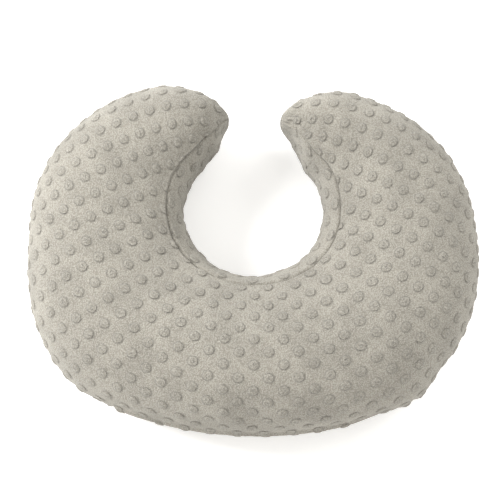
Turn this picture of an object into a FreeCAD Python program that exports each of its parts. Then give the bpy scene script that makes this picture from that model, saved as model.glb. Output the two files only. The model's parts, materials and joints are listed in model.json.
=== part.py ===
"""Nursing pillow: a C-shaped stuffed pillow in a removable dotted plush cover with a zip.

One STEP file is written for each piece, to parts/. Lengths are in millimetres and +Z is up. The
origin is on the surface that the pillow lies on, at the centre of its width and depth. The closed
front of the C faces -Y and its two arms reach towards +Y, so X = 0 is the plane of symmetry.

The soft body is described by a fan of upright section planes. A plane's turn is 0 at the middle of
the front and half a turn at the tips, where the plane lies along the gap between the arms. Every
layer, from the cover to the filling, is the same body inset by its own depth under the surface.
Sewn panels are the parts of a layer between two angles around the section.
"""

import FreeCAD
import Part

import math
import os

Vector = FreeCAD.Vector

# Overall form
WIDTH = 508.0
OUTLINE_DEPTH = 408.0  # of the plan outline, before the tips are rounded off
HEIGHT = 130.0
FRONT_FULLNESS = 2.4  # superellipse powers of the plan outline
BACK_FULLNESS = 2.5
HOLE_RADIUS = 79.0
HOLE_SETBACK = 53.0  # the hole's centre behind the outline's centre
TIP_GAP = 60.0

# Arm tips
TIP_ROUNDING = math.radians(33.0)  # share of the fan over which an arm rounds off
TIP_INSIDE_POWER = 1.6
TIP_OUTSIDE_POWER = 1.45
TIP_HEIGHT_POWER = 2.8
TIP_LEAN = 4.0  # the tip's shift towards the hole
ARM_THINNING = 0.11  # share of the height that an arm has lost where its tip rounds off

# Cross-section
WIDEST_HEIGHT = 62.0
CROWN_POWER = 2.15
BELLY_POWER = 2.6
BELLY_SINK = 1.2  # how far the unpressed belly would reach under the surface that it lies on

# Seams
OUTER_SEAM_HEIGHT = 44.0  # where the top and bottom panels and the zip meet, at the front
GUSSET_SEAM_ANGLE = math.radians(37.7)  # above and below the widest line, on the hole side
SEAM_GAP = 0.01  # between a panel and its seam, as a share of the spacing of the section points

# Layers, as depths under the cover's outer surface
COVER_THICKNESS = 2.0
ZIP_CLEARANCE = 0.35
TAPE_THICKNESS = 0.6
CASING_DEPTH = 5.4
CASING_THICKNESS = 0.8
FILL_CLEARANCE = 0.4
FILL_STRIP = math.radians(2.0)  # half the strip between the filling's skins, around the section

# Zip
ZIP_LENGTH = 300.0
ZIP_EASE = math.radians(16.0)  # fan angle over which the outline eases off the zip's arc
TAPE_WIDTH = 12.0
TAPE_OVERRUN = 12.0
SLOT_WIDTH = 11.0
SLOT_OVERRUN = 9.0
TOOTH_PITCH = 2.4
TOOTH_THICKNESS = 1.0
TOOTH_LENGTH = 2.0
TOOTH_HEIGHT = 1.3
WEDGE_LANE = 2.2  # the space that the slider's wedge runs in, between the two rows of teeth
STOP_LENGTH = 2.6

# Slider and pull
SLIDER_LENGTH = 11.0
SLIDER_FRONT_WIDTH = 9.2
SLIDER_REAR_WIDTH = 8.0
SLIDER_PLATE = 1.1
SLIDER_CORNER = 1.2
RUNNING_CLEARANCE = 0.3
FLANGE_THICKNESS = 0.6
FLANGE_DROP = 1.0
WEDGE_WIDTH = 0.9
WEDGE_LENGTH = 2.6
BRIDGE_SPAN = 4.8
BRIDGE_RISE = 2.5
BRIDGE_THICKNESS = 1.0
BRIDGE_WIDTH = 1.6
PULL_LENGTH = 26.0
PULL_WIDTH = 6.0
PULL_THICKNESS = 1.0
PULL_EYE_WIDTH = 2.8
PULL_EYE_LENGTH = 5.2
PULL_BAR_RADIUS = 0.65
PULL_TIP_HOLE_RADIUS = 1.4

# Labels and sewing thread
LABEL_THICKNESS = 0.3
CARE_LABEL_WIDTH = 28.0
CARE_LABEL_LENGTH = 34.0
PILLOW_LABEL_WIDTH = 55.0
PILLOW_LABEL_LENGTH = 42.0
THREAD_THICKNESS = 0.5
THREAD_END = math.radians(8.0)  # fan angle by which a thread stops short of a tip
THREAD_DEPTH = 0.6  # thread's centre behind the inside face of the panels it joins

# Modelling resolution
FAN_STATIONS = 20  # section planes from the front to where a tip starts to round off
TIP_STATIONS = 6
SECTION_POINTS = 32
SEWING_TOLERANCE = 0.01
BIG = 900.0  # larger than the pillow

UP = Vector(0, 0, 1)


def signed_power(value, power):
    """value raised to power, keeping its sign."""
    return math.copysign(abs(value) ** power, value)


def bisect(is_inside, low, high):
    """The largest number between low and high for which is_inside holds."""
    for _ in range(50):
        middle = (low + high) / 2
        if is_inside(middle):
            low = middle
        else:
            high = middle
    return low


# ---- the soft body ----


def pivot_of(turn):
    """X of the point that the section plane turns about: 0 at the front, half the gap at a tip."""
    return TIP_GAP / 2 * (1 - math.cos(turn)) / 2


def fan_point(turn, side, reach, z):
    """The point at a reach from the section plane's pivot, on one side (+1 or -1) of X = 0."""
    x = pivot_of(turn) + reach * math.sin(turn)
    y = HOLE_SETBACK - reach * math.cos(turn)
    return Vector(side * x, y, z)


def superellipse_reach(turn):
    """Reach from the pivot to the plan outline's superellipse."""

    def inside(reach):
        at = fan_point(turn, 1, reach, 0)
        power = FRONT_FULLNESS if at.y < 0 else BACK_FULLNESS
        return (abs(at.x) / (WIDTH / 2)) ** power + (abs(at.y) / (OUTLINE_DEPTH / 2)) ** power < 1

    return bisect(inside, 0, WIDTH + OUTLINE_DEPTH)


def zip_arc():
    """(radius, centre's Y, end's turn) of the circle through the front and the ends of the tapes."""
    front = -OUTLINE_DEPTH / 2

    def too_short(turn):
        at = fan_point(turn, 1, superellipse_reach(turn), 0)
        return math.hypot(at.x, at.y - front) < ZIP_LENGTH / 2 + TAPE_OVERRUN

    end_turn = bisect(too_short, 0, math.pi / 2)
    end = fan_point(end_turn, 1, superellipse_reach(end_turn), 0)
    rise = end.y - front
    radius = (end.x**2 + rise**2) / (2 * rise)
    return radius, front + radius, end_turn


ZIP_OUTLINE_RADIUS, ZIP_CENTRE_Y, ZIP_END_TURN = zip_arc()


def circle_reach(turn, centre_y, radius, towards):
    """Reach from the pivot to a circle about (0, centre_y): its far wall, or its near one."""
    offset_x, offset_y = pivot_of(turn), HOLE_SETBACK - centre_y
    along = offset_x * math.sin(turn) - offset_y * math.cos(turn)
    root = math.sqrt(along**2 - offset_x**2 - offset_y**2 + radius**2)
    return -along + towards * root


def outer_reach(turn):
    """Reach to the outline: the zip's arc across the front, eased into the superellipse."""
    free = superellipse_reach(turn)
    ease = min(1.0, max(0.0, (turn - ZIP_END_TURN) / ZIP_EASE))
    if ease == 1.0:
        return free
    share = ease * ease * (3 - 2 * ease)
    return free * share + circle_reach(turn, ZIP_CENTRE_Y, ZIP_OUTLINE_RADIUS, 1) * (1 - share)


def middle_reach(turn):
    """Reach to the middle of the section before a tip's lean."""
    return (circle_reach(turn, HOLE_SETBACK, HOLE_RADIUS, 1) + outer_reach(turn)) / 2


TIP_REACH = middle_reach(math.pi)


def tip_turn(inset):
    """The turn at which the body at an inset ends in its tip."""
    return math.pi - inset / TIP_REACH


def tip_share(turn, inset):
    """How far a turn is along the rounded end of an arm: 0 where it starts and 1 at the tip."""
    start = math.pi - TIP_ROUNDING
    return min(1.0, max(0.0, (turn - start) / (tip_turn(inset) - start)))


def section_sizes(turn, inset):
    """(reach to the centre, half width, crown over the widest line, belly under it) of a section."""
    hole = circle_reach(turn, HOLE_SETBACK, HOLE_RADIUS, 1)
    half = (outer_reach(turn) - hole) / 2 - inset
    share = tip_share(turn, inset)

    def rounded(power):
        return (1 - share**power) ** (1 / power)

    middle = middle_reach(turn) - TIP_LEAN * share**2
    inside = middle - half * rounded(TIP_INSIDE_POWER)
    outside = middle + half * rounded(TIP_OUTSIDE_POWER)
    thinning = 1 - ARM_THINNING * max(0.0, turn / (math.pi / 2) - 1) ** 2
    crown = (HEIGHT * thinning - WIDEST_HEIGHT - inset) * rounded(TIP_HEIGHT_POWER)
    belly = (WIDEST_HEIGHT + BELLY_SINK - inset) * rounded(TIP_HEIGHT_POWER)
    return (inside + outside) / 2, (outside - inside) / 2, crown, belly


def section_point(turn, side, around, inset):
    """A point of the section. around is 0 on the outline, a quarter turn at the crown and half
    a turn at the hole."""
    centre, half_width, crown, belly = section_sizes(turn, inset)
    rise = math.sin(around)
    power = 2 / (CROWN_POWER if rise >= 0 else BELLY_POWER)
    reach = centre + half_width * signed_power(math.cos(around), power)
    z = WIDEST_HEIGHT + (crown if rise >= 0 else belly) * signed_power(rise, power)
    return fan_point(turn, side, reach, z)


def fan_turns(inset):
    """(side, turn) of each section plane from the left tip round the front to the right tip."""
    arm_end, end = math.pi - TIP_ROUNDING, tip_turn(inset)
    turns = [arm_end * i / FAN_STATIONS for i in range(FAN_STATIONS + 1)]
    for i in range(1, TIP_STATIONS + 1):
        turns.append(arm_end + (end - arm_end) * math.sin(math.pi / 2 * i / TIP_STATIONS))
    return [(-1, turn) for turn in reversed(turns[1:])] + [(1, turn) for turn in turns]


def outer_seam_angle(depth):
    """The section angle at which a layer crosses the outer seam's height, at the front."""
    belly = section_sizes(0, depth)[3]
    return -math.asin(((WIDEST_HEIGHT - OUTER_SEAM_HEIGHT) / belly) ** (BELLY_POWER / 2))


def surface_through(angles, inset, stations):
    """The surface of the body at an inset, through some section angles at each station."""
    grid = [[section_point(turn, side, a, inset) for a in angles] for side, turn in stations]
    surface = Part.BSplineSurface()
    surface.interpolate(grid)
    return surface


def layer_skins(inset):
    """The (top, gusset, bottom) parts of the body's surface at an inset."""
    outer_seam = outer_seam_angle(inset)
    seams = [outer_seam, math.pi - GUSSET_SEAM_ANGLE, math.pi + GUSSET_SEAM_ANGLE]
    seams.append(2 * math.pi + outer_seam)
    angles, ends = [seams[0]], [0]
    for start, end in zip(seams, seams[1:]):
        steps = round(SECTION_POINTS * (end - start) / (2 * math.pi))
        angles += [start + (end - start) * i / steps for i in range(1, steps + 1)]
        ends.append(ends[-1] + steps)
    whole = surface_through(angles, inset, fan_turns(inset))
    knots, (from_tip, to_tip, _, _) = whole.getVKnots(), whole.bounds()
    skins = []
    for start, end in zip(ends, ends[1:]):
        part = whole.copy()
        low = knots[start] + SEAM_GAP * (knots[start + 1] - knots[start])
        high = knots[end] - SEAM_GAP * (knots[end] - knots[end - 1])
        part.segment(from_tip, to_tip, low, high)
        skins.append(part)
    return skins


def solid_of(faces):
    """The solid that faces enclose, once sewn together."""
    joined = Part.Compound(faces)
    joined.sewShape(SEWING_TOLERANCE)
    solid = Part.Solid(joined.Shells[0])
    if solid.Volume < 0:
        solid.reverse()
    return solid


def slab(outside, inside, has_ends):
    """The solid between two surfaces. Without ends, each surface closes to a point at the tips."""
    faces = [outside.toShape(), inside.toShape()]
    for boundary in (0, 1, 2, 3) if has_ends else (2, 3):
        edges = []
        for surface in (outside, inside):
            at = surface.bounds()[boundary]
            curve = surface.vIso(at) if boundary > 1 else surface.uIso(at)
            edges.append(curve.toShape())
        faces.append(Part.makeRuledSurface(edges[0], edges[1]))
    return solid_of(faces)


# ---- panels ----


def layer_panels(depth, thickness):
    """(top, gusset, bottom) sewn panels of the layer at a depth."""
    outside, inside = layer_skins(depth), layer_skins(depth + thickness)
    return [slab(outer, inner, False) for outer, inner in zip(outside, inside)]


def filling():
    """The stuffing, in one piece: an upper and a lower skin, joined by narrow strips between."""
    inset = CASING_DEPTH + CASING_THICKNESS + FILL_CLEARANCE
    start = outer_seam_angle(inset)
    upper, lower = [], []
    for i in range(SECTION_POINTS // 2 + 1):
        share = 2 * i / SECTION_POINTS
        upper.append(start + FILL_STRIP + (math.pi - start - 2 * FILL_STRIP) * share)
        lower.append(start - FILL_STRIP - (math.pi + start - 2 * FILL_STRIP) * share)
    stations = fan_turns(inset)
    return slab(*(surface_through(angles, inset, stations) for angles in (upper, lower)), False)


def above_level(shape, level):
    """A shape without what would reach under a level."""
    return shape.common(Part.makeBox(BIG, BIG, BIG, Vector(-BIG / 2, -BIG / 2, level)))


# ---- places along the zip ----


def zip_seam_radius():
    """Radius of the outer seam about the zip's axis, on the cover's outer surface."""
    front = section_point(0, 1, outer_seam_angle(0), 0)
    return ZIP_CENTRE_Y - front.y


ZIP_RADIUS = zip_seam_radius()


def seam_tilt():
    """How far the cover's outward normal points below the horizontal at the zip."""
    step = math.radians(0.5)
    low = section_point(0, 1, outer_seam_angle(0) - step, 0)
    high = section_point(0, 1, outer_seam_angle(0) + step, 0)
    return math.atan2(low.y - high.y, high.z - low.z)


ZIP_TILT = seam_tilt()


def zip_frame(arc_length):
    """The placement at a length along the zip from its middle. Its X runs along the zip to the
    right, its Y up the cover and its Z straight out of it."""
    turn = arc_length / ZIP_RADIUS
    outward = Vector(math.sin(turn), -math.cos(turn), 0)
    origin = Vector(0, ZIP_CENTRE_Y, OUTER_SEAM_HEIGHT) + outward * ZIP_RADIUS
    along = Vector(math.cos(turn), math.sin(turn), 0)
    normal = outward * math.cos(ZIP_TILT) - UP * math.sin(ZIP_TILT)
    rise = normal.cross(along)
    return FreeCAD.Placement(origin, FreeCAD.Rotation(along, rise, normal, "ZXY"))


def at_zip(shape, arc_length):
    """A copy of a shape drawn about the zip's frame, moved to a length along the zip."""
    placed = shape.copy()
    placed.Placement = zip_frame(arc_length).multiply(shape.Placement)
    return placed


def swept_along_zip(face, start, end):
    """A face in the YZ plane at the zip's middle, swept about the zip's axis between two lengths."""
    axis = Vector(0, ZIP_CENTRE_Y, 0)
    placed = face.copy()
    placed.rotate(axis, UP, math.degrees(start / ZIP_RADIUS))
    return placed.revolve(axis, UP, math.degrees((end - start) / ZIP_RADIUS))


def zip_band(low, high, depth_from, depth_to, start, end):
    """A straight strip along the zip, between two heights and two depths in the zip's frame."""
    corners = [(low, depth_from), (high, depth_from), (high, depth_to), (low, depth_to)]
    frame = zip_frame(0)
    points = [frame.multVec(Vector(0, rise, -depth)) for rise, depth in corners]
    return swept_along_zip(Part.Face(Part.makePolygon(points + points[:1])), start, end)


def curved_strip(around_from, around_to, depth, thickness, start, end):
    """A strip that follows the section between two angles, at a depth under the surface."""
    steps = 6
    angles = [around_from + (around_to - around_from) * i / steps for i in range(steps + 1)]
    outside = Part.BSplineCurve()
    outside.interpolate([section_point(0, 1, angle, depth) for angle in angles])
    inside = Part.BSplineCurve()
    inside.interpolate([section_point(0, 1, angle, depth + thickness) for angle in angles])
    ends = [
        Part.makeLine(outside.EndPoint, inside.EndPoint),
        Part.makeLine(inside.StartPoint, outside.StartPoint),
    ]
    face = Part.Face(Part.Wire([outside.toShape(), ends[0], inside.toShape(), ends[1]]))
    return swept_along_zip(face, start, end)


def around_at_rise(rise, depth):
    """The section angle, at a depth, of the point a given length up the cover from the zip."""
    target = OUTER_SEAM_HEIGHT + rise * math.cos(ZIP_TILT)
    _, _, crown, belly = section_sizes(0, depth)
    above = target >= WIDEST_HEIGHT
    share = abs(target - WIDEST_HEIGHT) / (crown if above else belly)
    angle = math.asin(min(1.0, share ** ((CROWN_POWER if above else BELLY_POWER) / 2)))
    return angle if above else -angle


# ---- zip ----

TAPE_DEPTH = COVER_THICKNESS + ZIP_CLEARANCE
TEETH_END = ZIP_LENGTH / 2
TAPE_END = TEETH_END + TAPE_OVERRUN
SLOT_END = TEETH_END + SLOT_OVERRUN
SLIDER_REST = -(TEETH_END - SLIDER_LENGTH / 2)


def zip_slot():
    """The strip cut out of the cover's panels so that the teeth and the slider show."""
    return zip_band(-SLOT_WIDTH / 2, SLOT_WIDTH / 2, -TAPE_WIDTH, TAPE_DEPTH, -SLOT_END, SLOT_END)


def zip_tape(side):
    """One tape, above (+1) or below (-1) the row of teeth, lying just inside the cover."""
    edge, hem = side * WEDGE_LANE / 2, side * TAPE_WIDTH
    low, high = sorted((edge, hem))
    around = [around_at_rise(rise, TAPE_DEPTH) for rise in (low, high)]
    return curved_strip(around[0], around[1], TAPE_DEPTH, TAPE_THICKNESS, -TAPE_END, TAPE_END)


def zip_teeth(side):
    """One row of teeth, standing on its tape's edge. The two rows are half a pitch apart."""
    start = WEDGE_LANE / 2 if side > 0 else -WEDGE_LANE / 2 - TOOTH_LENGTH
    base = -TAPE_DEPTH + RUNNING_CLEARANCE / 10
    tooth = Part.makeBox(
        TOOTH_THICKNESS, TOOTH_LENGTH, TOOTH_HEIGHT, Vector(-TOOTH_THICKNESS / 2, start, base)
    )
    crest = [edge for edge in tooth.Edges if edge.BoundBox.ZMin > base + TOOTH_HEIGHT / 2]
    tooth = tooth.makeFillet(TOOTH_THICKNESS / 3, crest)
    count = int(ZIP_LENGTH / TOOTH_PITCH)
    shift = TOOTH_PITCH / 4 * side - (count - 1) * TOOTH_PITCH / 2
    return Part.makeCompound([at_zip(tooth, shift + i * TOOTH_PITCH) for i in range(count)])


def zip_end_stop(side, end):
    """A stop clamped over one row of teeth at an end (-1 left, +1 right) of the zip."""
    start = WEDGE_LANE / 2 if side > 0 else -WEDGE_LANE / 2 - TOOTH_LENGTH
    base = -TAPE_DEPTH + RUNNING_CLEARANCE / 10
    stop = Part.makeBox(STOP_LENGTH, TOOTH_LENGTH, TOOTH_HEIGHT, Vector(-STOP_LENGTH / 2, start, base))
    stop = stop.makeFillet(TOOTH_HEIGHT / 4, stop.Edges)
    return at_zip(stop, end * (TEETH_END + STOP_LENGTH / 2 + TOOTH_PITCH / 2))


def zip_joining_stop():
    """The wide stop that holds both rows together at the right end."""
    width = WEDGE_LANE + 2 * TOOTH_LENGTH
    base = -TAPE_DEPTH + RUNNING_CLEARANCE / 10
    stop = Part.makeBox(STOP_LENGTH, width, TOOTH_HEIGHT, Vector(-STOP_LENGTH / 2, -width / 2, base))
    stop = stop.makeFillet(TOOTH_HEIGHT / 4, stop.Edges)
    return at_zip(stop, TEETH_END + STOP_LENGTH / 2 + TOOTH_PITCH / 2)


TEETH_TOP = -TAPE_DEPTH + TOOTH_HEIGHT
FACE_PLATE_BASE = TEETH_TOP + RUNNING_CLEARANCE
FACE_PLATE_TOP = FACE_PLATE_BASE + SLIDER_PLATE
BACK_PLATE_TOP = -TAPE_DEPTH - TAPE_THICKNESS - 1.5 * RUNNING_CLEARANCE
PULL_AXIS_DEPTH = -(FACE_PLATE_TOP + BRIDGE_RISE / 2)


def slider_plate(base):
    """One of the slider's two plates, a little narrower at the end that the closed teeth leave."""
    half, front, rear = SLIDER_LENGTH / 2, SLIDER_FRONT_WIDTH / 2, SLIDER_REAR_WIDTH / 2
    corners = [(-half, -front), (half, -rear), (half, rear), (-half, front), (-half, -front)]
    outline = Part.makePolygon([Vector(x, y, base) for x, y in corners])
    plate = Part.Face(outline).extrude(UP * SLIDER_PLATE)
    upright = [edge for edge in plate.Edges if edge.BoundBox.ZLength > SLIDER_PLATE / 2]
    return plate.makeFillet(SLIDER_CORNER, upright)


def slider_body():
    """The slider: two plates joined by the wedge, side flanges, and the bridge for the pull."""
    face, back = slider_plate(FACE_PLATE_BASE), slider_plate(BACK_PLATE_TOP - SLIDER_PLATE)
    wedge = Part.makeBox(
        WEDGE_LENGTH,
        WEDGE_WIDTH,
        FACE_PLATE_BASE - BACK_PLATE_TOP + SLIDER_PLATE,
        Vector(SLIDER_CORNER - SLIDER_LENGTH / 2, -WEDGE_WIDTH / 2, BACK_PLATE_TOP - SLIDER_PLATE / 2),
    )
    solid = face.fuse([back, wedge])
    flange_length = SLIDER_LENGTH - 3 * SLIDER_CORNER
    for side in (-1, 1):
        middle = side * (SLIDER_REAR_WIDTH / 2 - FLANGE_THICKNESS / 2)
        corner = Vector(-flange_length / 2, middle - FLANGE_THICKNESS / 2, FACE_PLATE_BASE - FLANGE_DROP)
        flange = Part.makeBox(flange_length, FLANGE_THICKNESS, FLANGE_DROP + SLIDER_PLATE / 2, corner)
        solid = solid.fuse(flange)
    outer = Part.makeBox(
        BRIDGE_SPAN + 2 * BRIDGE_THICKNESS,
        BRIDGE_WIDTH,
        BRIDGE_RISE + BRIDGE_THICKNESS + SLIDER_PLATE / 2,
        Vector(-BRIDGE_SPAN / 2 - BRIDGE_THICKNESS, -BRIDGE_WIDTH / 2, FACE_PLATE_TOP - SLIDER_PLATE / 2),
    )
    shoulders = [
        edge
        for edge in outer.Edges
        if edge.BoundBox.ZMin > FACE_PLATE_TOP + BRIDGE_RISE and edge.BoundBox.YLength > BRIDGE_WIDTH / 2
    ]
    outer = outer.makeFillet(BRIDGE_THICKNESS, shoulders)
    window = Part.makeBox(
        BRIDGE_SPAN, 2 * BRIDGE_WIDTH, BRIDGE_RISE, Vector(-BRIDGE_SPAN / 2, -BRIDGE_WIDTH, FACE_PLATE_TOP)
    )
    solid = solid.fuse(outer.cut(window)).removeSplitter()
    return at_zip(solid, SLIDER_REST)


def pull_tab():
    """The pull: a flat tab with an eye, whose bar turns under the slider's bridge. It lies along
    the closed zip at rest."""
    axis_height = -PULL_AXIS_DEPTH
    base = axis_height - PULL_THICKNESS / 2
    half = PULL_WIDTH / 2
    straight = Part.makeBox(PULL_LENGTH - half, PULL_WIDTH, PULL_THICKNESS, Vector(0, -half, base))
    round_end = Part.makeCylinder(half, PULL_THICKNESS, Vector(PULL_LENGTH - half, 0, base))
    eye = Part.makeBox(PULL_EYE_LENGTH, PULL_EYE_WIDTH, BIG, Vector(0, -PULL_EYE_WIDTH / 2, -BIG / 2))
    hole = Part.makeCylinder(PULL_TIP_HOLE_RADIUS, BIG, Vector(PULL_LENGTH - half, 0, -BIG / 2))
    bar = Part.makeCylinder(PULL_BAR_RADIUS, PULL_WIDTH, Vector(0, -half, axis_height), Vector(0, 1, 0))
    tab = straight.fuse(round_end).cut(eye).cut(hole).fuse(bar).removeSplitter()
    return at_zip(tab, SLIDER_REST)


# ---- labels and thread ----


def care_label():
    """A blank ribbon label sewn in under the lower tape, inside the cover."""
    depth = (TAPE_DEPTH + TAPE_THICKNESS + CASING_DEPTH) / 2 - LABEL_THICKNESS / 2
    top = -(SLIDER_FRONT_WIDTH / 2 + 2 * RUNNING_CLEARANCE)
    low = around_at_rise(max(top - CARE_LABEL_LENGTH, 4.0 - OUTER_SEAM_HEIGHT), depth)
    start = TEETH_END - 2 * CARE_LABEL_WIDTH
    return curved_strip(
        low, around_at_rise(top, depth), depth, LABEL_THICKNESS, start, start + CARE_LABEL_WIDTH
    )


def pillow_label():
    """A blank label sewn into the inner pillow's front seam, lying up its casing."""
    depth = CASING_DEPTH - 2 * LABEL_THICKNESS
    low = around_at_rise(SLIDER_FRONT_WIDTH / 2 + 2 * RUNNING_CLEARANCE, depth)
    high = around_at_rise(PILLOW_LABEL_LENGTH, depth)
    return curved_strip(
        low, high, depth, LABEL_THICKNESS, -PILLOW_LABEL_WIDTH / 2, PILLOW_LABEL_WIDTH / 2
    )


def thread_around(around, depth, stations):
    """Sewing thread along one angle of the section, at a depth, through a list of stations."""
    half = THREAD_THICKNESS / 2 / section_sizes(0, depth)[1]
    angles = [around - half, around - half / 3, around + half / 3, around + half]
    sides = [depth - THREAD_THICKNESS / 2, depth + THREAD_THICKNESS / 2]
    skins = [surface_through(angles, side, stations) for side in sides]
    return slab(skins[0], skins[1], True)


def thread_turns(depth, start):
    """The turns of a thread's stations, from a start to near the tip."""
    end = tip_turn(depth) - THREAD_END
    between = [turn for side, turn in fan_turns(depth) if side > 0 and start < turn < end]
    return [start] + between + [end]


def gusset_thread(level, depth):
    """The thread of the gusset's upper (+1) or lower (-1) seam."""
    turns = thread_turns(depth, 0)
    stations = [(-1, turn) for turn in reversed(turns[1:])] + [(1, turn) for turn in turns]
    return thread_around(math.pi - level * GUSSET_SEAM_ANGLE, depth, stations)


def outer_seam_thread(side, depth):
    """The thread of the outer seam of one arm, from the zip's end to near the tip."""
    stations = [(side, turn) for turn in thread_turns(depth, ZIP_END_TURN)]
    return thread_around(outer_seam_angle(depth), depth, stations)


def tape_thread(level):
    """The stitching that holds the upper (+1) or lower (-1) tape to its panel."""
    rise = level * (SLOT_WIDTH / 2 + TAPE_WIDTH) / 2
    depth = TAPE_DEPTH + TAPE_THICKNESS + ZIP_CLEARANCE / 2
    around = [around_at_rise(rise + step, depth) for step in (-THREAD_THICKNESS / 2, THREAD_THICKNESS / 2)]
    return curved_strip(around[0], around[1], depth, THREAD_THICKNESS, -TAPE_END, TAPE_END)


# ---- the whole pillow ----


def build():
    """Every piece by its node name."""
    cover_top, cover_gusset, cover_bottom = layer_panels(0, COVER_THICKNESS)
    casing_top, casing_gusset, casing_bottom = layer_panels(CASING_DEPTH, CASING_THICKNESS)
    slot = zip_slot()
    in_cover = COVER_THICKNESS + THREAD_DEPTH
    on_casing = CASING_DEPTH - THREAD_DEPTH
    return {
        "cover_top_panel": cover_top.cut(slot),
        "cover_bottom_panel": above_level(cover_bottom, 0).cut(slot),
        "cover_inner_gusset": cover_gusset,
        "cover_upper_gusset_thread": gusset_thread(1, in_cover),
        "cover_lower_gusset_thread": gusset_thread(-1, in_cover),
        "cover_left_seam_thread": outer_seam_thread(-1, in_cover),
        "cover_right_seam_thread": outer_seam_thread(1, in_cover),
        "cover_care_label": care_label(),
        "zip_upper_tape": zip_tape(1),
        "zip_lower_tape": zip_tape(-1),
        "zip_upper_teeth": zip_teeth(1),
        "zip_lower_teeth": zip_teeth(-1),
        "zip_upper_end_stop": zip_end_stop(1, -1),
        "zip_lower_end_stop": zip_end_stop(-1, -1),
        "zip_joining_stop": zip_joining_stop(),
        "zip_upper_tape_thread": tape_thread(1),
        "zip_lower_tape_thread": tape_thread(-1),
        "zip_slider": slider_body(),
        "zip_pull_tab": pull_tab(),
        "pillow_casing_top": casing_top,
        "pillow_casing_bottom": casing_bottom,
        "pillow_casing_gusset": casing_gusset,
        "pillow_upper_gusset_thread": gusset_thread(1, on_casing),
        "pillow_lower_gusset_thread": gusset_thread(-1, on_casing),
        "pillow_label": pillow_label(),
        "fibre_filling": filling(),
    }


def depth_centre():
    """Y halfway between the middle of the front and the backs of the tips."""
    rounded = [math.pi - TIP_ROUNDING * i / 200 for i in range(201)]
    back = max(section_point(turn, 1, around, 0).y for turn in rounded for around in (0, math.pi))
    return (back - OUTLINE_DEPTH / 2) / 2


def main():
    """Writes parts/NODE.step for every piece, and prints the sizes that the joints need."""
    os.makedirs("parts", exist_ok=True)
    shift = Vector(0, -depth_centre(), 0)
    for name, shape in build().items():
        shape.translate(shift)
        shape.exportStep(f"parts/{name}.step")
    slider = zip_frame(SLIDER_REST)
    pivot = slider.multVec(Vector(0, 0, -PULL_AXIS_DEPTH)) + shift
    axis = slider.Rotation.multVec(Vector(0, 1, 0))
    travel = math.degrees(2 * abs(SLIDER_REST) / ZIP_RADIUS)
    print(f"zip axis y {ZIP_CENTRE_Y + shift.y:.4f}, radius {ZIP_RADIUS:.3f}, travel {travel:.2f} degrees")
    print("pull pivot", [round(v, 4) for v in pivot], "axis", [round(v, 6) for v in axis])
    print("shift", round(shift.y, 4), "hole centre y", round(HOLE_SETBACK + shift.y, 4))


main()
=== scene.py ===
"""Nursing pillow: a C-shaped stuffed pillow in a zipped cover of raised-dot plush.

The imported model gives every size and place. Soft layers (cover, casing and filling) are grids that
are wrapped round one law for the pillow's body, then puffed by a cloth simulation, pinched at their
seams and, on the cover, raised into dots. Sewing thread lies in the seams. The zip and labels are
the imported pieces, refinished.
"""

import json
import logging
import math
from dataclasses import dataclass, field
from enum import Enum
from functools import cached_property

import bmesh
import bpy
import numpy as np
from mathutils import Matrix, Vector, kdtree


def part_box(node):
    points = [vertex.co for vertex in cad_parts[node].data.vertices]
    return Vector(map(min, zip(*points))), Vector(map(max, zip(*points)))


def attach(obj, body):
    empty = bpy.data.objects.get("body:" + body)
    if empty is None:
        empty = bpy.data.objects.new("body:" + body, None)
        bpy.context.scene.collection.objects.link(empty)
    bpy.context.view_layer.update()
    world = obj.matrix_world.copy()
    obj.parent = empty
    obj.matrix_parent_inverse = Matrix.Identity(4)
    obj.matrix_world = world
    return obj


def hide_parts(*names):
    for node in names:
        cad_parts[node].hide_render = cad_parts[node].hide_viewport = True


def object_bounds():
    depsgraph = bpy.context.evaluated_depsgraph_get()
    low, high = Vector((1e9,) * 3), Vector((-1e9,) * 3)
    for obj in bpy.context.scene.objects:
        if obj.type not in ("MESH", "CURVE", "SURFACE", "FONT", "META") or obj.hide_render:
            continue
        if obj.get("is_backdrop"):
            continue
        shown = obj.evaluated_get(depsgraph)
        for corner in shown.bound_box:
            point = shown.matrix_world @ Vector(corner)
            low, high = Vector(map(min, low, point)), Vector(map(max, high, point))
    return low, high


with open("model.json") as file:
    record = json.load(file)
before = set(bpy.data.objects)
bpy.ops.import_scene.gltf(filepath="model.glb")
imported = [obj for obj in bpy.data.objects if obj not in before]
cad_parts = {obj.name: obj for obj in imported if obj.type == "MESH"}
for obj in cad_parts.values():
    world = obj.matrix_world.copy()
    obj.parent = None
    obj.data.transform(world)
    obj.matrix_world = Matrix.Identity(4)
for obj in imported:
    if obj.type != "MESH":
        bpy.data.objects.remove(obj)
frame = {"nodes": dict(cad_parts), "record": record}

LOG = logging.getLogger("nursing_pillow")
SEED = 7
MM = 0.001


class Panel(Enum):
    """The three cut pieces of a sewn layer."""

    TOP = "top"
    GUSSET = "gusset"
    BOTTOM = "bottom"


def smooth_step(low: float, high: float, value: np.ndarray) -> np.ndarray:
    """Rises smoothly from 0 at low to 1 at high."""
    share = np.clip((value - low) / (high - low), 0.0, 1.0)
    return share * share * (3.0 - 2.0 * share)


def signed_power(value: np.ndarray, power: float | np.ndarray) -> np.ndarray:
    """Value raised to power, keeping its sign."""
    return np.sign(value) * np.abs(value) ** power


def bell(value: np.ndarray, middle: float, width: float | np.ndarray) -> np.ndarray:
    """A smooth bump of height 1 at middle."""
    return np.exp(-(((value - middle) / width) ** 2))


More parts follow.
